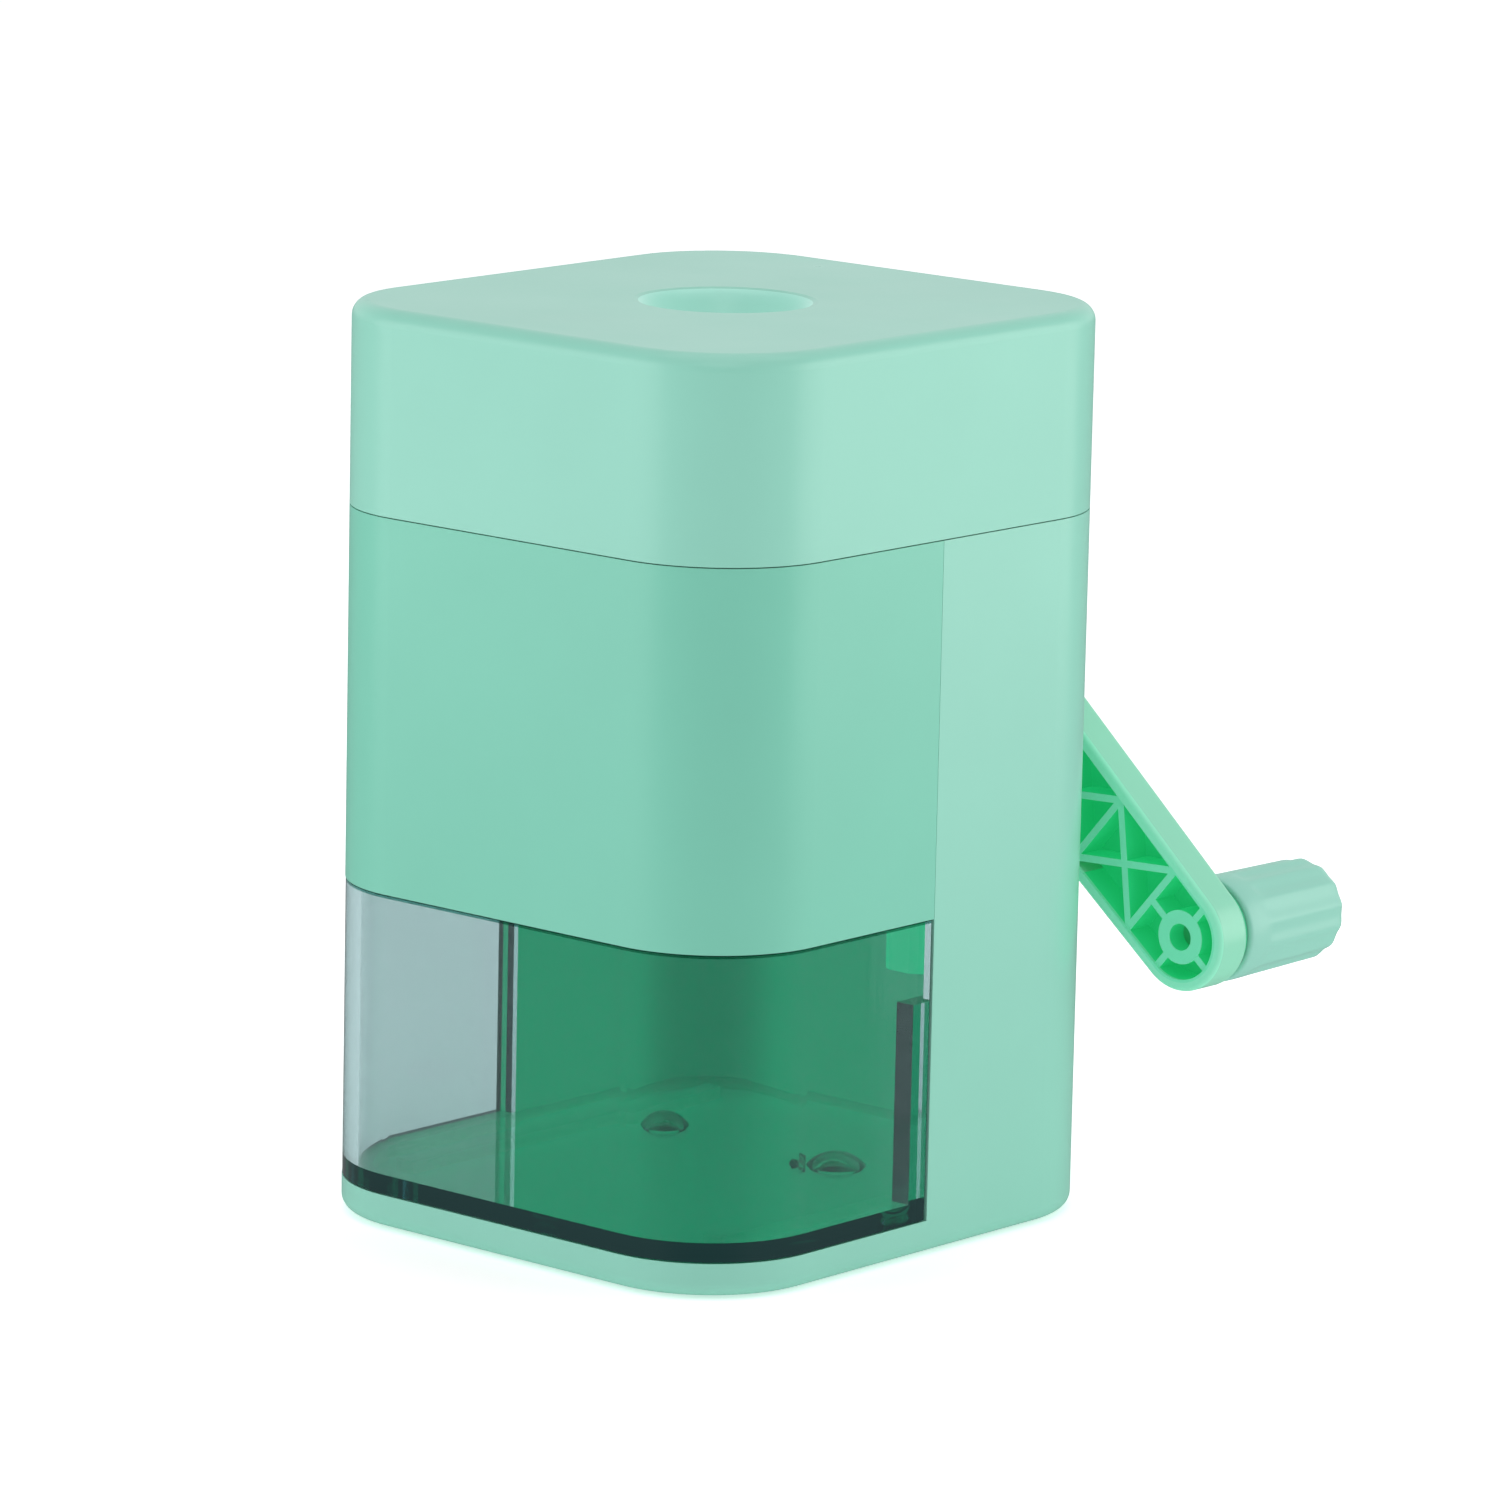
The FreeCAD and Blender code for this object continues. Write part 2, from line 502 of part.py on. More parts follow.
# notch for the cutter axle
cr = cr.cut(Part.makeCylinder(1.9, 12, on_axis(64.5), ca))
add("crown_gear", one(cr))
cs = []
for (px, py) in CRS:
    s = cyl(0.7, DK1 - 2.4, 70.4, px, py).fuse(cyl(1.2, 70.2, 70.88, px, py))
    s = s.cut(box(px - 0.8, py - 0.15, 70.6, px + 0.8, py + 0.15, 71))
    cs.append(one(s))
add("crown_screws", Part.makeCompound(cs))

# bevel pinion on the crank shaft; a gap faces +Z at rest
tan_p = 1.0 / tan_c
hp_0, hp_1 = BEVEL_RI, BEVEL_RO
cosp = math.cos(math.atan(tan_p))
bp = bevel_blank(NP_BEVEL, tan_p, hp_0, hp_1, 0.62 * m_out / cosp, 0.95 * m_out / cosp, 0.40,
                 math.pi / NP_BEVEL, (V(0, 1, 0), V(0, 0, 1), V(1, 0, 0)), ap)
bp = bp.fuse(cyl_y(6.0, hp_1 - 0.02, 20.9, 0, SHAFT_Z))
bp = bp.cut(cyl_y(SHAFT_R + 0.02, 0, 40, 0, SHAFT_Z))
add("bevel_pinion", one(bp))

# ---------------------------------------------------------------------------
# crank
# ---------------------------------------------------------------------------
sh = cyl_y(SHAFT_R, 14.0, 41.0, 0, SHAFT_Z)
sh = sh.cut(box(-3.5, 34.0, SHAFT_Z + 2.3, 3.5, 41.5, SHAFT_Z + 4))     # flat for the arm
sh = sh.cut(cyl_y(4, 27.0, 27.7, 0, SHAFT_Z).cut(cyl_y(2.4, 26, 29, 0, SHAFT_Z)))
add("crank_shaft", one(sh))
sbush = cyl_y(4.66, 21.3, 25.0, 0, SHAFT_Z).fuse(cyl_y(6.4, 25.0, 26.0, 0, SHAFT_Z)).cut(cyl_y(SHAFT_R + 0.05, 15, 40, 0, SHAFT_Z))
add("shaft_bush", one(sbush))
add("thrust_washer", cyl_y(5.6, 26.1, 26.8, 0, SHAFT_Z).cut(cyl_y(SHAFT_R + 0.03, 20, 40, 0, SHAFT_Z)))
circ = cyl_y(4.6, 27.05, 27.65, 0, SHAFT_Z).cut(cyl_y(2.45, 20, 40, 0, SHAFT_Z))
circ = circ.cut(box(-1.6, 26, SHAFT_Z - 6, 1.6, 29, SHAFT_Z))
add("shaft_circlip", one(circ))
pclip = cyl_y(4.4, 13.40, 13.97, 0, SHAFT_Z).fuse(cyl_y(1.0, 13.40, 17.0, 0, SHAFT_Z))
add("pinion_clip", one(pclip.cut(box(-2.2, 13, SHAFT_Z - 0.3, 2.2, 13.65, SHAFT_Z + 0.3))))
PARTS["crank_shaft"] = one(PARTS["crank_shaft"].cut(cyl_y(1.02, 10, 17.2, 0, SHAFT_Z)))


# arm is drawn along +X from the shaft axis, then turned to its rest angle
def stadium(r0, r1, L, y0, y1):
    """Plate that tapers from radius r0 at x=0 to r1 at x=L, in the XZ plane."""
    a = math.asin((r0 - r1) / L)
    sa, c = math.sin(a), math.cos(a)
    p1 = V(r0 * sa, y0, r0 * c)
    p2 = V(L + r1 * sa, y0, r1 * c)
    p3 = V(L + r1 * sa, y0, -r1 * c)
    p4 = V(r0 * sa, y0, -r0 * c)
    w = Part.Wire([Part.makeLine(p1, p2),
                   Part.Arc(p2, V(L + r1, y0, 0), p3).toShape(),
                   Part.makeLine(p3, p4),
                   Part.Arc(p4, V(-r0, y0, 0), p1).toShape()])
    return Part.Face(w).extrude(V(0, y1 - y0, 0))


AW = ARM_W / 2.0
arm = stadium(HUB_R, AW, ARM_LEN, ARM_Y0, ARM_Y1)
ed = [e for e in arm.Edges if abs(e.BoundBox.YMin - ARM_Y1) < 1e-4 and abs(e.BoundBox.YMax - ARM_Y1) < 1e-4]
arm = arm.makeFillet(1.0, ed)
ed = [e for e in arm.Edges if abs(e.BoundBox.YMin - ARM_Y0) < 1e-4 and abs(e.BoundBox.YMax - ARM_Y0) < 1e-4]
arm = arm.makeFillet(0.55, ed)
pocket = stadium(HUB_R - ARM_RIM, AW - ARM_RIM, ARM_LEN, ARM_Y0 - 1, ARM_Y1 - ARM_WEB)
inside = stadium(HUB_R - ARM_RIM + 0.3, AW - ARM_RIM + 0.3, ARM_LEN, ARM_Y0 + 0.35, ARM_Y1 - ARM_WEB + 0.3)
arm = arm.cut(pocket)


def rib(x0, z0, x1, z1, w=RIB):
    L = math.hypot(x1 - x0, z1 - z0)
    b = box(0, ARM_Y0 + 0.35, -w / 2, L, ARM_Y1 - ARM_WEB + 0.3, w / 2)
    b.rotate(V(0, 0, 0), V(0, 1, 0), -math.degrees(math.atan2(z1 - z0, x1 - x0)))
    b.translate(V(x0, 0, z0))
    return b


ribs = []
tr = [5.5, 15.8, 26.1, 36.4]
for t in tr:
    ribs.append(rib(ARM_LEN - t, -7, ARM_LEN - t, 7))
for i in range(3):
    xa, xb = ARM_LEN - tr[i], ARM_LEN - tr[i + 1]
    h = AW - ARM_RIM + 0.1
    ribs.append(rib(xa, -h, xb, h))
    ribs.append(rib(xa, h, xb, -h))
ribs.append(rib(ARM_LEN - 5.5, 0, ARM_LEN - 2.0, 0))
for a in (0, 90, 270):
    c, s = math.cos(math.radians(a)), math.sin(math.radians(a))
    ribs.append(rib(ARM_LEN + 2.2 * c, 2.2 * s, ARM_LEN + 5.2 * c, 5.2 * s))
for r in ribs:
    arm = arm.fuse(r.common(inside))
# bosses: tip for the knob's axle, hub for the shaft
arm = arm.fuse(cyl_y(3.0, ARM_Y0 + 0.3, ARM_Y1 - 0.2, ARM_LEN, 0))
arm = arm.fuse(cyl_y(5.1, 33.0, ARM_Y1 - 0.5, 0, 0))
arm = arm.cut(cyl_y(1.5, ARM_Y0 - 2, ARM_Y1 + 1, ARM_LEN, 0))
hub_bore = cyl_y(SHAFT_R + 0.02, 32, 41.05, 0, 0).cut(box(-4, 34.0, 2.32, 4, 42, 5))
arm = arm.cut(hub_bore)
arm = one(arm)


def place_arm(s):
    s = s.copy()
    s.rotate(V(0, 0, 0), V(0, 1, 0), -ARM_ANGLE)
    s.translate(V(0, 0, SHAFT_Z))
    return s


# the shaft's flat turns with the arm
PARTS["crank_shaft"] = one(PARTS["crank_shaft"])
_s = PARTS["crank_shaft"].copy()
_s.rotate(V(0, 0, SHAFT_Z), V(0, 1, 0), -ARM_ANGLE)
PARTS["crank_shaft"] = _s
add("crank_arm", place_arm(arm))

# knob: plain collar, then shallow flutes, rounded end, bored for its axle
NF = 14
prof = [V(0, KNOB_Y0, 0), V(KNOB_R - 0.25, KNOB_Y0, 0), V(KNOB_R + 0.05, KNOB_Y0 + 0.3, 0),
        V(KNOB_R, KNOB_Y1 - 2.0, 0)]
e = [Part.makeLine(prof[i], prof[i + 1]) for i in range(len(prof) - 1)]
k = math.sqrt(0.5)
e.append(Part.Arc(V(KNOB_R, KNOB_Y1 - 2.0, 0), V(KNOB_R - 2.0 + 2.0 * k, KNOB_Y1 - 2.0 + 2.0 * k, 0), V(KNOB_R - 2.0, KNOB_Y1, 0)).toShape())
e.append(Part.makeLine(V(KNOB_R - 2.0, KNOB_Y1, 0), V(0, KNOB_Y1, 0)))
e.append(Part.makeLine(V(0, KNOB_Y1, 0), V(0, KNOB_Y0, 0)))
kn = Part.Face(Part.Wire(e)).revolve(V(0, 0, 0), V(0, 1, 0), 360)
fl = []
for i in range(NF):
    a = 2 * math.pi * i / NF
    R = KNOB_R + 0.90
    c = Part.makeCylinder(1.15, 30, V(R * math.cos(a), KNOB_Y0 + 3.2, R * math.sin(a)), V(0, 1, 0))
    fl.append(c)
kn = kn.cut(Part.makeCompound(fl))
kn = kn.cut(cyl_y(1.93, KNOB_Y0 - 1, KNOB_Y1 - 3.0, 0, 0))
kn.translate(V(ARM_LEN, 0, 0))
add("knob", place_arm(one(kn)))

# knob axle: pressed in the arm's tip, collar against the arm, body inside the knob
ka = cyl_y(1.48, 40.2, 43.2, 0, 0).fuse(cyl_y(1.88, ARM_Y1 + 0.02, KNOB_Y1 - 3.6, 0, 0)).fuse(cyl_y(5.3, ARM_Y1 + 0.02, KNOB_Y0 - 0.10, 0, 0))
ka.translate(V(ARM_LEN, 0, 0))
add("knob_axle", place_arm(one(ka)))

# ---------------------------------------------------------------------------
os.makedirs("parts", exist_ok=True)
for name in sorted(PARTS):
    s = PARTS[name]
    s.exportStep("parts/" + name + ".step")
    print(name, s.ShapeType, "solids", len(s.Solids), "valid", s.isValid(), "vol %.1f" % s.Volume,
          "box %.2f %.2f %.2f  %.2f %.2f %.2f" % (s.BoundBox.XMin, s.BoundBox.YMin, s.BoundBox.ZMin,
                                                  s.BoundBox.XMax, s.BoundBox.YMax, s.BoundBox.ZMax))
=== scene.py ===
import bpy, bmesh, math, json
from mathutils import Vector, Matrix


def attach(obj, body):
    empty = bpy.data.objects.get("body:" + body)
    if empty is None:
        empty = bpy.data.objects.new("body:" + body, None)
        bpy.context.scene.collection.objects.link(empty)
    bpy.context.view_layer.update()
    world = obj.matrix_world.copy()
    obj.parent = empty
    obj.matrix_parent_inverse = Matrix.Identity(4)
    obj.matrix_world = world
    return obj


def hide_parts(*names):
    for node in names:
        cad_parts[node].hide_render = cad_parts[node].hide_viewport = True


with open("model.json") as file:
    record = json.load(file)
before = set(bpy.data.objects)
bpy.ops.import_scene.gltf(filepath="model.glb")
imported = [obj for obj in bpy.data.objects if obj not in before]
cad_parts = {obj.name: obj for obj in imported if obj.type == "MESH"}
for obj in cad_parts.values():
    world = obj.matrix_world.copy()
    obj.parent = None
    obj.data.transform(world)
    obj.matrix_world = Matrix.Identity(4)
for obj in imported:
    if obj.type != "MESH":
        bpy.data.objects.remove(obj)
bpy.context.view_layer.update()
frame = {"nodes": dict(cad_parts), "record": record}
N = frame["nodes"]
MM = 0.001

# ---------------------------------------------------------------------------
# render settings
# ---------------------------------------------------------------------------
scene = bpy.context.scene
scene.view_settings.view_transform = "Standard"
scene.cycles.max_bounces = 24
scene.cycles.transmission_bounces = 24
scene.cycles.caustics_reflective = False
scene.cycles.caustics_refractive = False

# ---------------------------------------------------------------------------
# camera, at the photograph's angle
# ---------------------------------------------------------------------------
az, el, roll = math.radians(41.062), math.radians(11.36), math.radians(1.235)
back = Vector((math.sin(az) * math.cos(el), -math.cos(az) * math.cos(el), math.sin(el)))
right = Vector((math.cos(az), math.sin(az), 0))
up = right.cross(-back)
rx = right * math.cos(roll) + up * math.sin(roll)
ux = -right * math.sin(roll) + up * math.cos(roll)
target = right * 0.003645 + Vector((0, 0, 0.050788))
cam_data = bpy.data.cameras.new("camera")
cam = bpy.data.objects.new("camera", cam_data)
scene.collection.objects.link(cam)
m = Matrix((rx, ux, back)).transposed().to_4x4()
m.translation = target + back * 0.88002
cam.matrix_world = m
cam_data.sensor_width = 36.0
cam_data.lens = 8146.06 / 1500 * 36
cam_data.clip_start = 0.01
cam_data.clip_end = 50
scene.camera = cam


# ---------------------------------------------------------------------------
# materials
# ---------------------------------------------------------------------------
def new_mat(name):
    mt = bpy.data.materials.new(name)
    mt.use_nodes = True
    nt = mt.node_tree
    b = nt.nodes["Principled BSDF"]
    return mt, nt, b


def lin(c):
    out = []
    for v in c:
        v = v / 255.0
        out.append(v / 12.92 if v <= 0.04045 else ((v + 0.055) / 1.055) ** 2.4)
    return out


def coords(nt, scale=1.0):
    tc = nt.nodes.new("ShaderNodeTexCoord")
    mp = nt.nodes.new("ShaderNodeMapping")
    mp.inputs["Scale"].default_value = (scale, scale, scale)
    nt.links.new(tc.outputs["Object"], mp.inputs["Vector"])
    return mp.outputs["Vector"]


def noise(nt, vec, scale, detail=3.0, rough=0.55):
    n = nt.nodes.new("ShaderNodeTexNoise")
    n.inputs["Scale"].default_value = scale
    n.inputs["Detail"].default_value = detail
    n.inputs["Roughness"].default_value = rough
    nt.links.new(vec, n.inputs["Vector"])
    return n.outputs["Fac"]


def ramp(nt, fac, stops):
    r = nt.nodes.new("ShaderNodeValToRGB")
    el_ = r.color_ramp.elements
    while len(el_) > 1:
        el_.remove(el_[-1])
    el_[0].position = stops[0][0]
    el_[0].color = tuple(stops[0][1]) + (1,)
    for p, c in stops[1:]:
        e = el_.new(p)
        e.color = tuple(c) + (1,)
    nt.links.new(fac, r.inputs["Fac"])
    return r.outputs["Color"]


def map_range(nt, fac, a, b):
    r = nt.nodes.new("ShaderNodeMapRange")
    r.inputs["To Min"].default_value = a
    r.inputs["To Max"].default_value = b
    nt.links.new(fac, r.inputs["Value"])
    return r.outputs["Result"]


def bump(nt, height, strength, dist, prev=None):
    b = nt.nodes.new("ShaderNodeBump")
    b.inputs["Strength"].default_value = strength
    b.inputs["Distance"].default_value = dist
    nt.links.new(height, b.inputs["Height"])
    if prev is not None:
        nt.links.new(prev, b.inputs["Normal"])
    return b.outputs["Normal"]


def math_node(nt, op, a, b=None):
    n = nt.nodes.new("ShaderNodeMath")
    n.operation = op
    for i, x in enumerate((a, b)):
        if x is None:
            continue
        if isinstance(x, (int, float)):
            n.inputs[i].default_value = x
        else:
            nt.links.new(x, n.inputs[i])
    return n.outputs[0]


def vec_node(nt, op, a, b=None):
    n = nt.nodes.new("ShaderNodeVectorMath")
    n.operation = op
    nt.links.new(a, n.inputs[0])
    if b is not None:
        n.inputs[1].default_value = b
    return n.outputs["Value"] if op in ("LENGTH", "DOT_PRODUCT") else n.outputs["Vector"]


def inside_shell(nt, v):
    """1 on the inner faces of the shells, 0 outside: a rounded square set in from the outer wall."""
    inset = 0.0012
    rc = 0.0139 - inset
    q = vec_node(nt, "ABSOLUTE", v)
    q = vec_node(nt, "SUBTRACT", q, (0.031 - inset - rc, 0.0336 - inset - rc, 0))
    q = vec_node(nt, "MAXIMUM", q, (0, 0, 0))
    q = vec_node(nt, "MULTIPLY", q, (1, 1, 0))
    near = math_node(nt, "LESS_THAN", vec_node(nt, "LENGTH", q), rc)
    sep = nt.nodes.new("ShaderNodeSeparateXYZ")
    nt.links.new(v, sep.inputs[0])
    above = math_node(nt, "GREATER_THAN", sep.outputs["Z"], 0.0012)
    below = math_node(nt, "LESS_THAN", sep.outputs["Z"], 0.0772)
    return math_node(nt, "MULTIPLY", near, math_node(nt, "MULTIPLY", above, below))


def corner_shade(nt, v, glow):
    """Painted shade: the painted inner glow is dimmed where the wall turns the corner."""
    q = vec_node(nt, "ABSOLUTE", v)
    x = vec_node(nt, "DOT_PRODUCT", q, (1 / 0.029, 0, 0))
    y = vec_node(nt, "DOT_PRODUCT", q, (0, 1 / 0.0316, 0))
    r = nt.nodes.new("ShaderNodeMapRange")
    r.interpolation_type = "SMOOTHSTEP"
    for k, val in (("From Min", 0.45), ("From Max", 0.80), ("To Min", glow), ("To Max", glow * 0.62)):
        r.inputs[k].default_value = val
    nt.links.new(math_node(nt, "MULTIPLY", x, y), r.inputs["Value"])
    return r.outputs["Result"]


def mix_color(nt, fac, a, b):
    n = nt.nodes.new("ShaderNodeMix")
    n.data_type = "RGBA"
    nt.links.new(fac, n.inputs["Factor"])
    for key, x in (("A", a), ("B", b)):
        sock = [i for i in n.inputs if i.name == key and i.type == "RGBA"][0]
        if isinstance(x, (tuple, list)):
            sock.default_value = tuple(x) + (1,)
        else:
            nt.links.new(x, sock)
    return [o for o in n.outputs if o.type == "RGBA"][0]


# painted glow colour: emission on the inner shell faces, standing in for light passing the wall
PAINTED_GLOW = (0.0, 0.60, 0.265)


def plastic(name, rgb, rough=0.16, var=0.025, coat=0.0, sss=0.0, grain=0.0, glow=0.0, deep=None):
    """Injection-moulded gloss plastic: faint flow marks in the colour, a slightly wavy gloss.
    Inside the shells the inner faces get a darker deep-green base colour (painted shade) and an emission (painted
    glow) that stands in for light passing the pigmented wall; the funnel cup on top gets a faint painted glow too."""
    mt, nt, b = new_mat(name)
    c = lin(rgb)
    v = coords(nt)
    big = noise(nt, v, 26, 3.0)
    lo = [x * (1 - var) for x in c]
    hi = [min(1.0, x * (1 + var)) for x in c]
    base = ramp(nt, big, [(0.3, lo), (0.7, hi)])
    if glow:
        inner = inside_shell(nt, v)
        # painted shade: the inner shell faces are coloured a darker deep green
        base = mix_color(nt, inner, base, (0.075, 0.20, 0.15))
        # painted glow: emission colour, deep green inside the shells, pale on the funnel cup
        painted_glow_col = mix_color(nt, inner, (0.095, 0.145, 0.140), PAINTED_GLOW)
        nt.links.new(painted_glow_col, b.inputs["Emission Color"])
        painted_inner_glow = math_node(nt, "MULTIPLY", inner, corner_shade(nt, v, glow))
        # painted light: the funnel cup on top gets a faint glow
        round_ = math_node(nt, "LESS_THAN", vec_node(nt, "LENGTH", vec_node(nt, "MULTIPLY", v, (1, 1, 0))), 0.0094)
        high = vec_node(nt, "DOT_PRODUCT", v, (0, 0, 1))
        cup = math_node(nt, "MULTIPLY", math_node(nt, "GREATER_THAN", high, 0.0905), math_node(nt, "LESS_THAN", high, 0.09965))
        nt.links.new(math_node(nt, "ADD", painted_inner_glow, math_node(nt, "MULTIPLY", round_, cup)), b.inputs["Emission Strength"])
    if deep:
        base = deep(nt, v, base, b)
    nt.links.new(base, b.inputs["Base Color"])
    fine = noise(nt, v, 900, 2.0)
    nt.links.new(map_range(nt, noise(nt, v, 60, 4.0), rough * 0.85, rough * 1.2), b.inputs["Roughness"])
    nrm = bump(nt, big, 0.02, 0.0003)
    nrm = bump(nt, fine, 0.05 + grain, 0.00002, nrm)
    nt.links.new(nrm, b.inputs["Normal"])
    b.inputs["IOR"].default_value = 1.5
    if coat:
        b.inputs["Coat Weight"].default_value = coat
        b.inputs["Coat Roughness"].default_value = 0.05
    if sss:
        b.inputs["Subsurface Weight"].default_value = sss
        b.inputs["Subsurface Radius"].default_value = (0.4, 1.0, 0.8)
        b.inputs["Subsurface Scale"].default_value = 0.0012
    return mt


def metal(name, rgb, rough=0.3, streak=True):
    mt, nt, b = new_mat(name)
    c = lin(rgb)
    v = coords(nt)
    n = noise(nt, v, 120, 5.0)
    nt.links.new(ramp(nt, n, [(0.3, [x * 0.85 for x in c]), (0.7, c)]), b.inputs["Base Color"])
    nt.links.new(map_range(nt, n, rough * 0.8, rough * 1.25), b.inputs["Roughness"])
    b.inputs["Metallic"].default_value = 1.0
    nt.links.new(bump(nt, noise(nt, v, 800, 3.0), 0.15, 0.00003), b.inputs["Normal"])
    return mt


def arm_pockets(nt, v, base, b):
    """Painted glow in the pockets of the crank's thin web: a deep-green base colour and an emission that stand in for
    light passing the plastic; the ribs get a greener base and the side facing the body a faint painted glow.
    """
    a = math.radians(-40.5)
    hub = (0.0, 0.0, 0.0596)
    w = vec_node(nt, "SUBTRACT", v, hub)
    u = vec_node(nt, "DOT_PRODUCT", w, (math.cos(a), 0, math.sin(a)))
    t = vec_node(nt, "DOT_PRODUCT", w, (-math.sin(a), 0, math.cos(a)))
    over = math_node(nt, "MAXIMUM", math_node(nt, "SUBTRACT", u, 0.0458), 0.0)
    under = math_node(nt, "MINIMUM", u, 0.0)
    ends = math_node(nt, "ADD", math_node(nt, "MULTIPLY", over, over), math_node(nt, "MULTIPLY", under, under))
    r2 = math_node(nt, "ADD", ends, math_node(nt, "MULTIPLY", t, t))
    within = math_node(nt, "LESS_THAN", r2, 0.0050 ** 2)
    y = vec_node(nt, "DOT_PRODUCT", v, (0, 1, 0))
    deep_in = math_node(nt, "MULTIPLY", math_node(nt, "GREATER_THAN", y, 0.0374 + 0.0004),
                        math_node(nt, "LESS_THAN", y, 0.0424 - 0.0005))
    m = math_node(nt, "MULTIPLY", within, deep_in)
    face = math_node(nt, "LESS_THAN", y, 0.0374 + 0.0004)
    rib = math_node(nt, "MULTIPLY", within, face)
    # painted light: the ribs facing the body get a greener base colour
    base = mix_color(nt, math_node(nt, "MULTIPLY", rib, 0.45), base, (0.05, 0.60, 0.32))
    # painted glow: emission in the pockets and on the side facing the body
    painted_glow_col = mix_color(nt, m, (0.085, 0.36, 0.235), (0.01, 0.42, 0.15))
    nt.links.new(painted_glow_col, b.inputs["Emission Color"])
    strength = math_node(nt, "ADD", math_node(nt, "MULTIPLY", m, 0.46), math_node(nt, "MULTIPLY", face, 0.42))
    nt.links.new(strength, b.inputs["Emission Strength"])
    # painted glow: the pocket base colour is deep green
    return mix_color(nt, m, base, (0.03, 0.50, 0.19))


# mint_shell, mint_front and frame_nylon carry the painted inner glow and painted shade inside the shells
MINT = plastic("mint_shell", (142, 207, 188), 0.29, glow=1.0)
MINT_FRONT = plastic("mint_front", (121, 198, 175), 0.29, glow=1.0)
MINT_CRANK = plastic("mint_crank", (140, 214, 184), 0.3, deep=arm_pockets)
MINT_KNOB = plastic("mint_knob", (142, 203, 186), 0.38)
FRAME = plastic("frame_nylon", (60, 190, 140), 0.4, 0.05, glow=0.5)
ACETAL = plastic("gear_acetal", (226, 222, 208), 0.35, 0.03)
STEEL = metal("steel", (196, 198, 202), 0.28)
ZINC = metal("zinc", (206, 208, 212), 0.35)
BRONZE = metal("bronze", (190, 150, 92), 0.4)
CAST = metal("carrier_cast", (150, 152, 156), 0.45)


def rubber(name):
    mt, nt, b = new_mat(name)
    v = coords(nt)
    n = noise(nt, v, 300, 4.0)
    nt.links.new(ramp(nt, n, [(0.3, (0.012, 0.012, 0.012)), (0.7, (0.022, 0.022, 0.022))]), b.inputs["Base Color"])
    b.inputs["Roughness"].default_value = 0.75
    nt.links.new(bump(nt, n, 0.3, 0.0001), b.inputs["Normal"])
    return mt


RUBBER = rubber("pad_rubber")


def smoke(name):
    """Clear smoke-tinted styrene: clear surface, colour from the depth of material, and a faint painted glow (volume
    emission) in it, so that long paths inside the edges end dark green rather than black.
    The top edge is tinted dark green as a painted shadow of the gap under the cover."""
    mt, nt, b = new_mat(name)
    v = coords(nt)
    tint = ramp(nt, noise(nt, v, 30, 2.0), [(0.3, (0.675, 0.73, 0.735)), (0.7, (0.69, 0.745, 0.75))])
    # painted shadow: the drawer's top edge is tinted dark green for the gap under the cover
    painted_gap_shade = math_node(nt, "GREATER_THAN", vec_node(nt, "DOT_PRODUCT", v, (0, 0, 1)), 0.03662)
    nt.links.new(mix_color(nt, painted_gap_shade, tint, (0.02, 0.14, 0.11)), b.inputs["Base Color"])
    b.inputs["Roughness"].default_value = 0.0
    b.inputs["IOR"].default_value = 1.49
    b.inputs["Transmission Weight"].default_value = 1.0
    ab = nt.nodes.new("ShaderNodeVolumeAbsorption")
    ab.inputs["Color"].default_value = (0.0, 0.40, 0.42, 1)
    ab.inputs["Density"].default_value = 120.0
    # painted glow: the smoke volume emits a faint pale green light
    painted_volume_glow = nt.nodes.new("ShaderNodeEmission")
    painted_volume_glow.inputs["Color"].default_value = (0.55, 1.0, 0.96, 1)
    painted_volume_glow.inputs["Strength"].default_value = 3.2
    both = nt.nodes.new("ShaderNodeAddShader")
    nt.links.new(ab.outputs["Volume"], both.inputs[0])
    nt.links.new(painted_volume_glow.outputs["Emission"], both.inputs[1])
    nt.links.new(both.outputs["Shader"], nt.nodes["Material Output"].inputs["Volume"])
    return mt


SMOKE = smoke("smoke_clear")

slot_mat = {
    "mint_shell": MINT, "mint_front": MINT_FRONT, "mint_crank": MINT_CRANK, "mint_knob": MINT_KNOB,
    "smoke_clear": SMOKE, "pad_rubber": RUBBER, "frame_nylon": FRAME, "gear_acetal": ACETAL,
    "washer_acetal": ACETAL, "carrier_cast": CAST, "cutter_steel": STEEL, "steel_shaft": STEEL,
    "zinc_screw": ZINC, "bush_bronze": BRONZE,
}
COLLAR = plastic("mint_collar", (72, 190, 140), 0.35)
node_slot = {s["node"]: s["material_slot"] for s in frame["record"]["subparts"]}
for name, o in N.items():
    mt = COLLAR if name == "knob_axle" else slot_mat[node_slot[name]]
    for i in range(max(1, len(o.data.materials))):
        if i < len(o.data.materials):
            o.data.materials[i] = mt
        else:
            o.data.materials.append(mt)

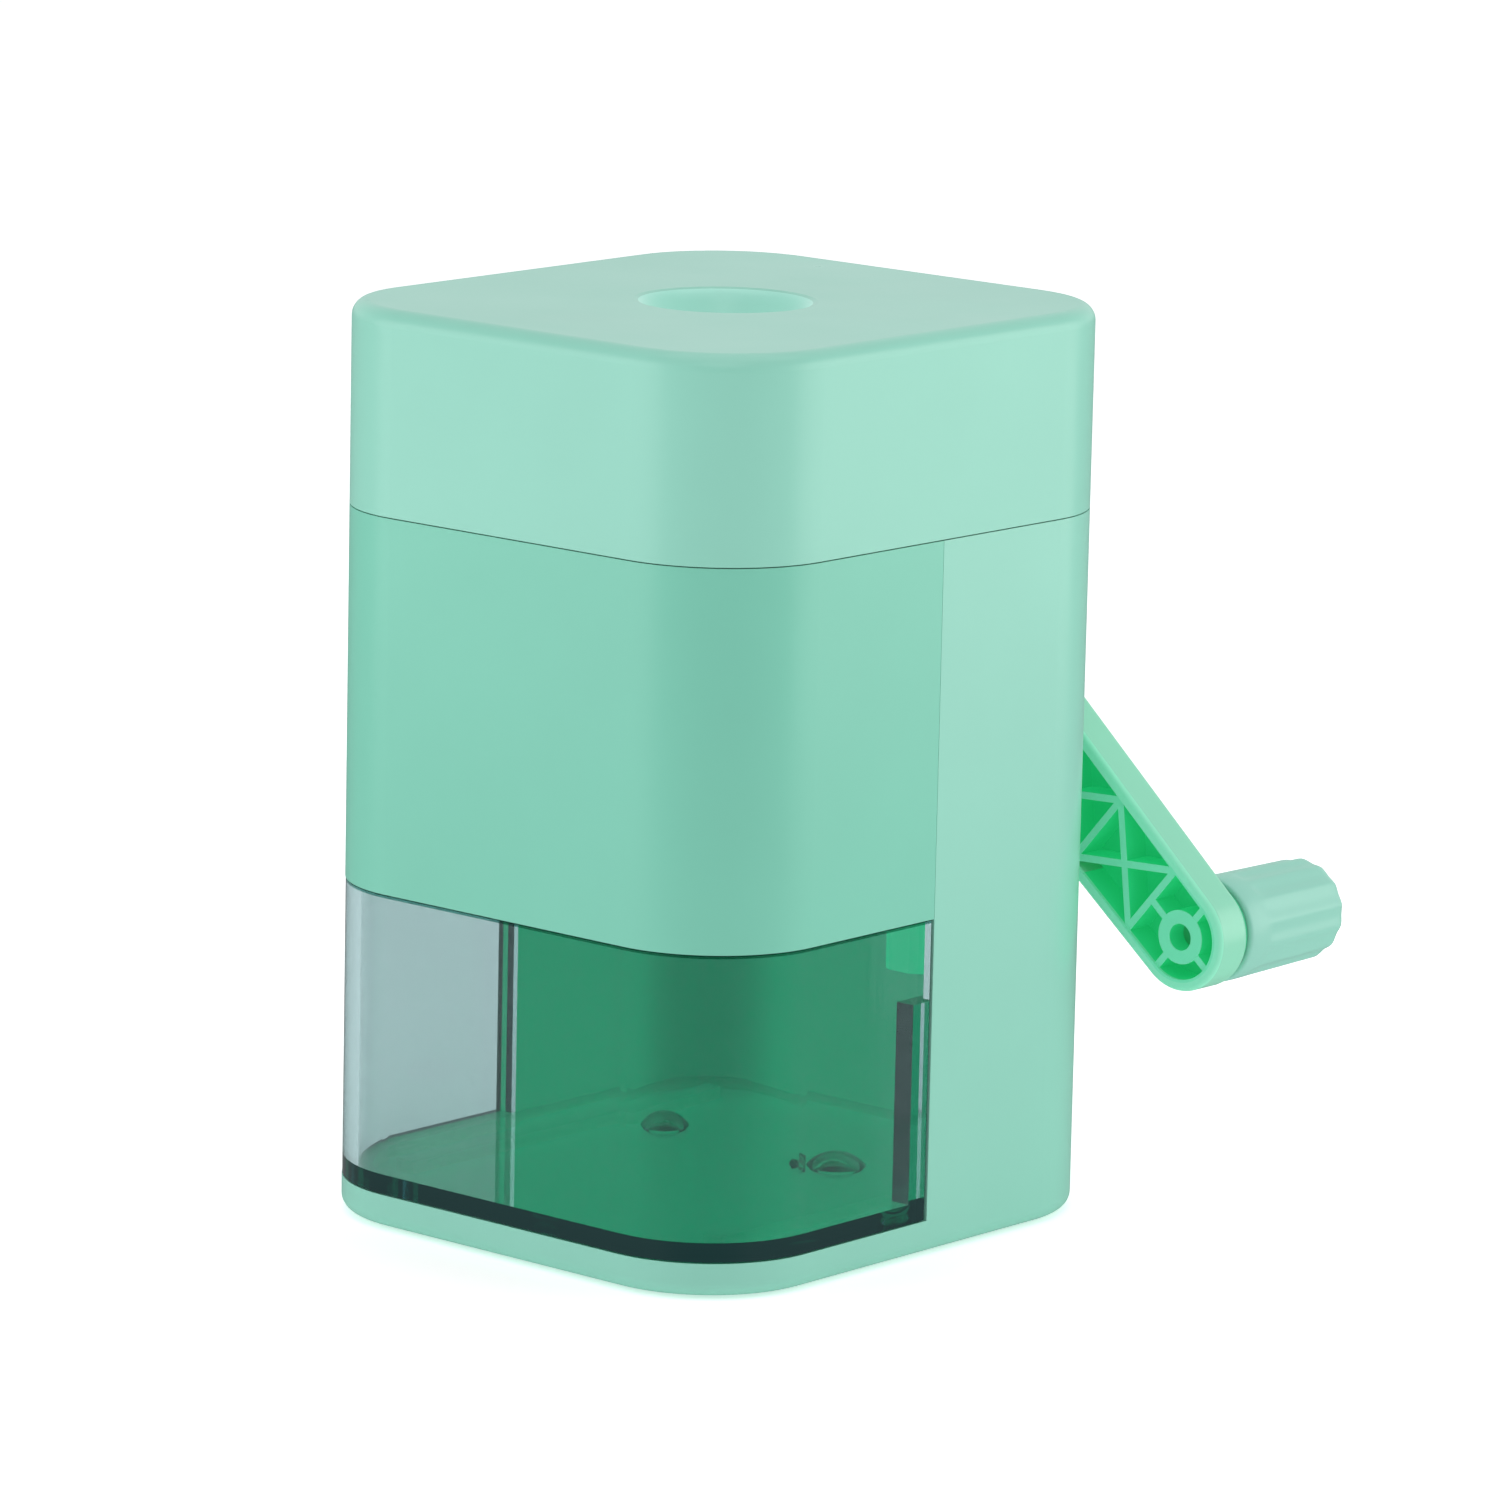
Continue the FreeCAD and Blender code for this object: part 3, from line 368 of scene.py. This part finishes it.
# ---------------------------------------------------------------------------
# knob, turned and fluted: plain collar, fourteen soft flutes that run out over the rounded end
# ---------------------------------------------------------------------------
def knob_mesh():
    arm = math.radians(-40.5)
    cx, cz = 0.0458 * math.cos(arm), 0.0596 + 0.0458 * math.sin(arm)
    prof = [(43.00, 1.95, 0), (43.00, 5.40, 0), (43.06, 5.66, 0), (43.22, 5.80, 0), (43.45, 5.86, 0),
            (44.60, 5.88, 0), (45.60, 5.87, 0), (46.10, 5.87, 0.25), (46.60, 5.86, 0.7), (47.20, 5.85, 1)]
    for i in range(1, 9):
        prof.append((47.20 + 11.6 * i / 8, 5.85 - 0.17 * i / 8, 1))
    for i in range(1, 10):
        t = math.radians(10 * i)
        prof.append((58.80 + 2.15 * math.sin(t), 3.53 + 2.15 * math.cos(t), max(0.0, math.cos(t)) ** 2))
    prof += [(60.98, 2.6, 0), (61.00, 1.3, 0)]
    n, flutes, depth = 224, 14, 0.24
    bm = bmesh.new()
    rings = []
    for y, r, f in prof:
        ring = []
        for k in range(n):
            th = 2 * math.pi * k / n
            g = (0.5 + 0.5 * math.cos(flutes * th)) ** 0.8
            rr = r - depth * f * g
            ring.append(bm.verts.new((cx + rr * MM * math.cos(th), y * MM, cz + rr * MM * math.sin(th))))
        rings.append(ring)
    inner = []
    for y in (43.0, 58.0):
        inner.append([bm.verts.new((cx + 1.95 * MM * math.cos(2 * math.pi * k / n), y * MM, cz + 1.95 * MM * math.sin(2 * math.pi * k / n))) for k in range(n)])
    bm.verts.ensure_lookup_table()
    for v in rings[0]:
        bm.verts.remove(v)
    rings[0] = inner[0]
    for a, b_ in zip(rings, rings[1:]):
        for k in range(n):
            bm.faces.new((a[k], b_[k], b_[(k + 1) % n], a[(k + 1) % n]))
    for k in range(n):
        bm.faces.new((inner[1][k], inner[0][k], inner[0][(k + 1) % n], inner[1][(k + 1) % n]))
    tip = bm.verts.new((cx, 61.0 * MM, cz))
    end = bm.verts.new((cx, 58.0 * MM, cz))
    for k in range(n):
        bm.faces.new((rings[-1][k], tip, rings[-1][(k + 1) % n]))
        bm.faces.new((inner[1][(k + 1) % n], end, inner[1][k]))
    bmesh.ops.recalc_face_normals(bm, faces=bm.faces)
    me = bpy.data.meshes.new("knob_turned")
    bm.to_mesh(me)
    bm.free()
    for p in me.polygons:
        p.use_smooth = True
    for ed in me.edges:
        ed.use_edge_sharp = False
    me.materials.append(MINT_KNOB)
    return me


knob = bpy.data.objects.new("knob_turned", knob_mesh())
scene.collection.objects.link(knob)
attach(knob, "knob")
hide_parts("knob")

# ---------------------------------------------------------------------------
# stage
# ---------------------------------------------------------------------------
bpy.ops.mesh.primitive_plane_add(size=12, location=(0, 0, 0))
floor = bpy.context.object
floor.name = "floor"
mt, nt, b = new_mat("floor_white")
v = coords(nt)
nt.links.new(ramp(nt, noise(nt, v, 3, 2.0), [(0.3, (0.90, 0.90, 0.90)), (0.7, (0.93, 0.93, 0.93))]), b.inputs["Base Color"])
b.inputs["Roughness"].default_value = 0.9
b.inputs["Specular IOR Level"].default_value = 0.1
b.inputs["Emission Color"].default_value = (1, 1, 1, 1)
b.inputs["Emission Strength"].default_value = 0.42
floor.data.materials.append(mt)
floor.visible_glossy = False

world = bpy.data.worlds.new("world")
scene.world = world
world.use_nodes = True
wn = world.node_tree
bg = wn.nodes["Background"]
tc = wn.nodes.new("ShaderNodeTexCoord")
way = tc.outputs["Generated"]
height = vec_node(wn, "DOT_PRODUCT", way, (0, 0, 1))
front = vec_node(wn, "DOT_PRODUCT", way, (0.657, -0.754, 0))


def ranged(fac, f0, f1, t0, t1):
    r = wn.nodes.new("ShaderNodeMapRange")
    r.interpolation_type = "SMOOTHSTEP"
    for k, x in (("From Min", f0), ("From Max", f1), ("To Min", t0), ("To Max", t1)):
        r.inputs[k].default_value = x
    wn.links.new(fac, r.inputs["Value"])
    return r.outputs["Result"]


strength = math_node(wn, "MULTIPLY", ranged(height, -0.08, 0.08, 0.14, 0.575), ranged(front, 0.66, 0.985, 1.0, 0.20))
strength = math_node(wn, "MULTIPLY", strength, ranged(front, -0.9, -0.3, 1.45, 1.0))
wn.links.new(strength, bg.inputs["Strength"])
bg.inputs["Color"].default_value = (0.98, 0.99, 1.0, 1)


def area(name, loc, look, sx, sy, power, col=(1, 1, 1)):
    d = bpy.data.lights.new(name, "AREA")
    d.shape = "RECTANGLE"
    d.size, d.size_y = sx, sy
    d.energy = power
    d.color = col
    o = bpy.data.objects.new(name, d)
    scene.collection.objects.link(o)
    o.location = loc
    o.rotation_euler = (Vector(look) - Vector(loc)).to_track_quat("-Z", "Y").to_euler()
    return o


area("soft_left", (-0.27, -0.41, 0.14), (0, 0, 0.10), 0.44, 0.36, 0.72, (1.0, 1.0, 1.0))
area("soft_right", (0.365, 0.32, 0.14), (0, 0, 0.10), 0.44, 0.36, 0.84, (1.0, 0.965, 0.93))
area("soft_front", (0.50, -0.57, 0.80), (0, 0, 0.05), 0.5, 0.5, 1.0)
area("soft_top", (0, 0.1, 1.2), (0, 0, 0), 1.2, 1.2, 4.0)
